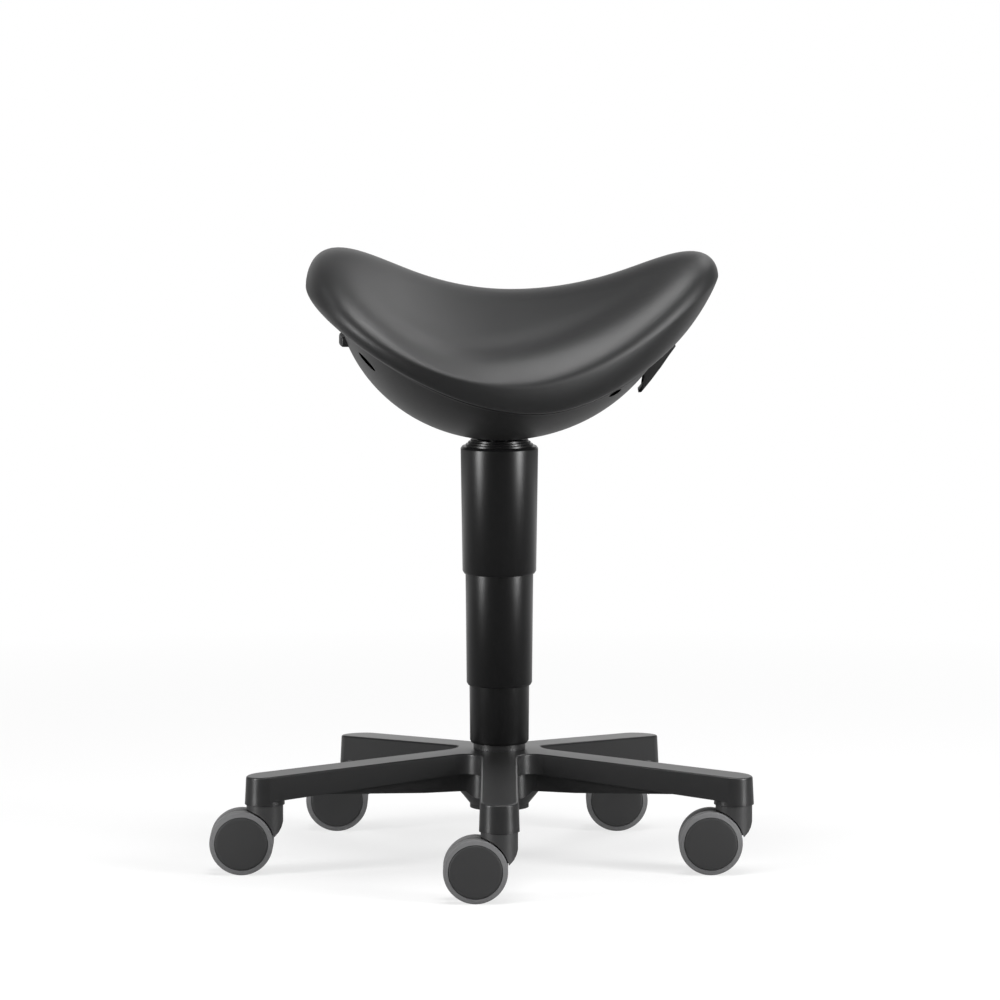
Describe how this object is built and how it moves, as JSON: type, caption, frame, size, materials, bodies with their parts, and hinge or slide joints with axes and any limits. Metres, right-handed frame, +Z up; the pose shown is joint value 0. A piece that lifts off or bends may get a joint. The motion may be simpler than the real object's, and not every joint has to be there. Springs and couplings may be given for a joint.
{
  "type": "saddle stool",
  "caption": "Saddle stool with a padded saddle seat on a bowl shell, height adjustable swivel column in telescopic covers, star base on twin-wheel castors.",
  "frame": {"origin": "on the floor under the column's axis", "axes": "+Z up along the column, +X to the front of the saddle, +Y to its left side"},
  "size_m": [0.555, 0.4995, 0.6326],
  "materials": {
    "cover_skin": "smooth matt black synthetic leather on moulded foam",
    "shell_plastic": "fine-grained black",
    "base_plastic": "satin black, glass-filled nylon",
    "cover_plastic": "satin black",
    "castor_plastic": "satin black",
    "tread_rubber": "mid grey, soft",
    "steel": "turned",
    "rod_chrome": "polished",
    "painted_steel": "black powder coat",
    "bush_plastic": "natural acetal"
  },
  "bodies": {
    "base": {"star_base": "base_plastic", "castor_sockets": "steel", "column_tube": "painted_steel", "guide_bush": "bush_plastic", "bearing_lower_race": "steel", "lower_cover": "cover_plastic"},
    "swivel_rod": {"piston_rod": "rod_chrome", "piston": "bush_plastic", "rod_clip": "steel", "bearing_upper_race": "steel", "bearing_balls": "steel"},
    "seat": {"gas_cylinder": "painted_steel", "cylinder_gland": "steel", "upper_cover": "cover_plastic", "seat_bracket": "painted_steel", "bracket_screws": "steel", "seat_pan": "shell_plastic", "seat_shell": "shell_plastic", "cushion": "cover_skin", "rear_grip": "shell_plastic", "lever_pin": "steel"},
    "cover_middle": {"middle_cover": "cover_plastic"},
    "lever": {"height_lever": "shell_plastic"},
    "button": {"valve_button": "steel"},
    "castor_1": {"castor_1_housing": "castor_plastic", "castor_1_stem": "steel", "castor_1_axle": "steel"},
    "castor_1_right_roller": {"castor_1_right_wheel": "castor_plastic", "castor_1_right_tread": "tread_rubber"},
    "castor_1_left_roller": {"castor_1_left_wheel": "castor_plastic", "castor_1_left_tread": "tread_rubber"},
    "castor_2": {"castor_2_housing": "castor_plastic", "castor_2_stem": "steel", "castor_2_axle": "steel"},
    "castor_2_right_roller": {"castor_2_right_wheel": "castor_plastic", "castor_2_right_tread": "tread_rubber"},
    "castor_2_left_roller": {"castor_2_left_wheel": "castor_plastic", "castor_2_left_tread": "tread_rubber"},
    "castor_3": {"castor_3_housing": "castor_plastic", "castor_3_stem": "steel", "castor_3_axle": "steel"},
    "castor_3_right_roller": {"castor_3_right_wheel": "castor_plastic", "castor_3_right_tread": "tread_rubber"},
    "castor_3_left_roller": {"castor_3_left_wheel": "castor_plastic", "castor_3_left_tread": "tread_rubber"},
    "castor_4": {"castor_4_housing": "castor_plastic", "castor_4_stem": "steel", "castor_4_axle": "steel"},
    "castor_4_right_roller": {"castor_4_right_wheel": "castor_plastic", "castor_4_right_tread": "tread_rubber"},
    "castor_4_left_roller": {"castor_4_left_wheel": "castor_plastic", "castor_4_left_tread": "tread_rubber"},
    "castor_5": {"castor_5_housing": "castor_plastic", "castor_5_stem": "steel", "castor_5_axle": "steel"},
    "castor_5_right_roller": {"castor_5_right_wheel": "castor_plastic", "castor_5_right_tread": "tread_rubber"},
    "castor_5_left_roller": {"castor_5_left_wheel": "castor_plastic", "castor_5_left_tread": "tread_rubber"}
  },
  "joints": [
    {"name": "seat_swivel", "type": "hinge", "parent": "base", "child": "swivel_rod", "pos_m": [0, 0, 0.06], "axis": [0, 0, 1], "continuous": true},
    {"name": "seat_height", "type": "slide", "parent": "swivel_rod", "child": "seat", "axis": [0, 0, 1], "range_m": [-0.11, 0.03]},
    {"name": "cover_slide", "type": "slide", "parent": "base", "child": "cover_middle", "axis": [0, 0, 1], "range_m": [-0.056, 0.016]},
    {"name": "lever_pivot", "type": "hinge", "parent": "seat", "child": "lever", "pos_m": [0.06, 0, 0.4883], "axis": [0, -1, 0], "range_deg": [0, 2], "stiffness_Nm_per_rad": 20},
    {"name": "button_press", "type": "slide", "parent": "seat", "child": "button", "axis": [0, 0, 1], "range_m": [-0.0025, 0]},
    {"name": "castor_1_swivel", "type": "hinge", "parent": "base", "child": "castor_1", "pos_m": [0, -0.2515, 0.08], "axis": [0, 0, 1], "continuous": true},
    {"name": "castor_1_right_roll", "type": "hinge", "parent": "castor_1", "child": "castor_1_right_roller", "pos_m": [-0.0237, -0.2515, 0.0325], "axis": [0, 1, 0], "continuous": true},
    {"name": "castor_1_left_roll", "type": "hinge", "parent": "castor_1", "child": "castor_1_left_roller", "pos_m": [-0.0237, -0.2515, 0.0325], "axis": [0, 1, 0], "continuous": true},
    {"name": "castor_2_swivel", "type": "hinge", "parent": "base", "child": "castor_2", "pos_m": [-0.23919, -0.07772, 0.08], "axis": [0, 0, 1], "continuous": true},
    {"name": "castor_2_right_roll", "type": "hinge", "parent": "castor_2", "child": "castor_2_right_roller", "pos_m": [-0.26289, -0.07772, 0.0325], "axis": [0, 1, 0], "continuous": true},
    {"name": "castor_2_left_roll", "type": "hinge", "parent": "castor_2", "child": "castor_2_left_roller", "pos_m": [-0.26289, -0.07772, 0.0325], "axis": [0, 1, 0], "continuous": true},
    {"name": "castor_3_swivel", "type": "hinge", "parent": "base", "child": "castor_3", "pos_m": [-0.14783, 0.20347, 0.08], "axis": [0, 0, 1], "continuous": true},
    {"name": "castor_3_right_roll", "type": "hinge", "parent": "castor_3", "child": "castor_3_right_roller", "pos_m": [-0.17153, 0.20347, 0.0325], "axis": [0, 1, 0], "continuous": true},
    {"name": "castor_3_left_roll", "type": "hinge", "parent": "castor_3", "child": "castor_3_left_roller", "pos_m": [-0.17153, 0.20347, 0.0325], "axis": [0, 1, 0], "continuous": true},
    {"name": "castor_4_swivel", "type": "hinge", "parent": "base", "child": "castor_4", "pos_m": [0.14783, 0.20347, 0.08], "axis": [0, 0, 1], "continuous": true},
    {"name": "castor_4_right_roll", "type": "hinge", "parent": "castor_4", "child": "castor_4_right_roller", "pos_m": [0.12413, 0.20347, 0.0325], "axis": [0, 1, 0], "continuous": true},
    {"name": "castor_4_left_roll", "type": "hinge", "parent": "castor_4", "child": "castor_4_left_roller", "pos_m": [0.12413, 0.20347, 0.0325], "axis": [0, 1, 0], "continuous": true},
    {"name": "castor_5_swivel", "type": "hinge", "parent": "base", "child": "castor_5", "pos_m": [0.23919, -0.07772, 0.08], "axis": [0, 0, 1], "continuous": true},
    {"name": "castor_5_right_roll", "type": "hinge", "parent": "castor_5", "child": "castor_5_right_roller", "pos_m": [0.21549, -0.07772, 0.0325], "axis": [0, 1, 0], "continuous": true},
    {"name": "castor_5_left_roll", "type": "hinge", "parent": "castor_5", "child": "castor_5_left_roller", "pos_m": [0.21549, -0.07772, 0.0325], "axis": [0, 1, 0], "continuous": true}
  ],
  "couplings": [
    {"joint": "cover_slide", "follows": "seat_height", "ratio": 0.5},
    {"joint": "button_press", "follows": "lever_pivot", "m_per_rad": -0.06}
  ]
}
